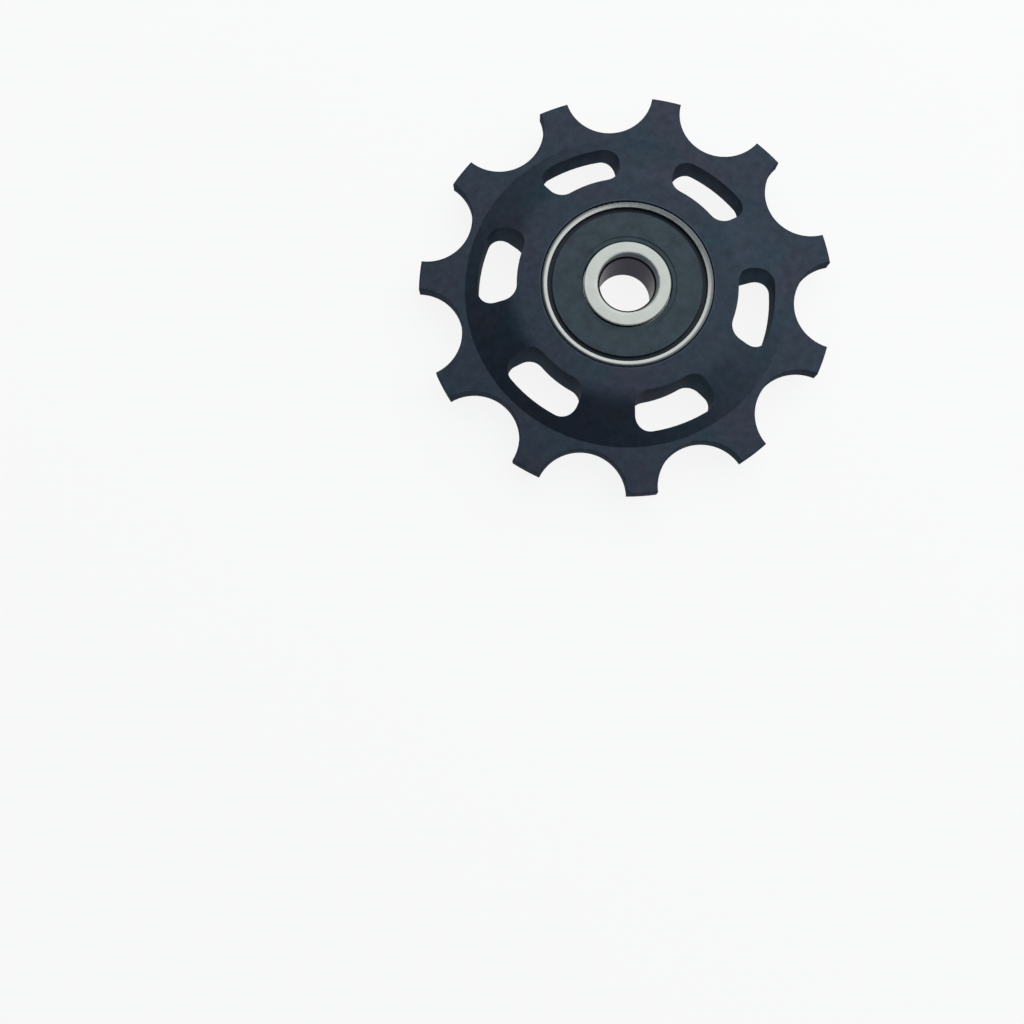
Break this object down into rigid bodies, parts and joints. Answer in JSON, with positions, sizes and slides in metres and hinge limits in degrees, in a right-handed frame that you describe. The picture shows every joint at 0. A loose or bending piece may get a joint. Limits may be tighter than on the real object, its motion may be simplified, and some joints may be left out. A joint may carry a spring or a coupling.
{
  "type": "derailleur jockey wheel",
  "caption": "Toothed bicycle chain pulley with a conical slotted web, turning on a sealed ball bearing whose bore fits a derailleur's pulley bolt sleeve.",
  "frame": {"origin": "centre of the axle bore, on the mid plane of the teeth", "axes": "+Z along the axle bore, the wheel lying flat; +Y through the middle of one tooth and one slot"},
  "size_m": [0.0458, 0.0455, 0.006],
  "materials": {
    "anodised_aluminium": "black anodised, satin",
    "ring_steel": "ground",
    "ball_steel": "lapped bright",
    "cage_steel": "pressed sheet",
    "seal_rubber": "moulded, matte"
  },
  "bodies": {
    "inner_ring": {"bearing_inner_ring": "ring_steel"},
    "wheel": {"pulley_wheel": "anodised_aluminium", "bearing_outer_ring": "ring_steel", "seal_upper": "seal_rubber", "seal_lower": "seal_rubber"},
    "cage": {"cage_half_upper": "cage_steel", "cage_half_lower": "cage_steel"},
    "ball_1": {"bearing_ball_1": "ball_steel"},
    "ball_2": {"bearing_ball_2": "ball_steel"},
    "ball_3": {"bearing_ball_3": "ball_steel"},
    "ball_4": {"bearing_ball_4": "ball_steel"},
    "ball_5": {"bearing_ball_5": "ball_steel"},
    "ball_6": {"bearing_ball_6": "ball_steel"}
  },
  "joints": [
    {"name": "wheel_spin", "type": "hinge", "parent": "inner_ring", "child": "wheel", "pos_m": [0, 0, 0], "axis": [0, 0, 1], "continuous": true},
    {"name": "cage_spin", "type": "hinge", "parent": "inner_ring", "child": "cage", "pos_m": [0, 0, 0], "axis": [0, 0, 1], "continuous": true},
    {"name": "ball_1_roll", "type": "hinge", "parent": "cage", "child": "ball_1", "pos_m": [0, 0.00625, 0], "axis": [0, 0, 1], "continuous": true},
    {"name": "ball_2_roll", "type": "hinge", "parent": "cage", "child": "ball_2", "pos_m": [-0.00541, 0.00313, 0], "axis": [0, 0, 1], "continuous": true},
    {"name": "ball_3_roll", "type": "hinge", "parent": "cage", "child": "ball_3", "pos_m": [-0.00541, -0.00313, 0], "axis": [0, 0, 1], "continuous": true},
    {"name": "ball_4_roll", "type": "hinge", "parent": "cage", "child": "ball_4", "pos_m": [0, -0.00625, 0], "axis": [0, 0, 1], "continuous": true},
    {"name": "ball_5_roll", "type": "hinge", "parent": "cage", "child": "ball_5", "pos_m": [0.00541, -0.00313, 0], "axis": [0, 0, 1], "continuous": true},
    {"name": "ball_6_roll", "type": "hinge", "parent": "cage", "child": "ball_6", "pos_m": [0.00541, 0.00313, 0], "axis": [0, 0, 1], "continuous": true}
  ],
  "couplings": [
    {"joint": "cage_spin", "follows": "wheel_spin", "ratio": 0.64},
    {"joint": "ball_1_roll", "follows": "wheel_spin", "ratio": 1.6457},
    {"joint": "ball_2_roll", "follows": "wheel_spin", "ratio": 1.6457},
    {"joint": "ball_3_roll", "follows": "wheel_spin", "ratio": 1.6457},
    {"joint": "ball_4_roll", "follows": "wheel_spin", "ratio": 1.6457},
    {"joint": "ball_5_roll", "follows": "wheel_spin", "ratio": 1.6457},
    {"joint": "ball_6_roll", "follows": "wheel_spin", "ratio": 1.6457}
  ]
}
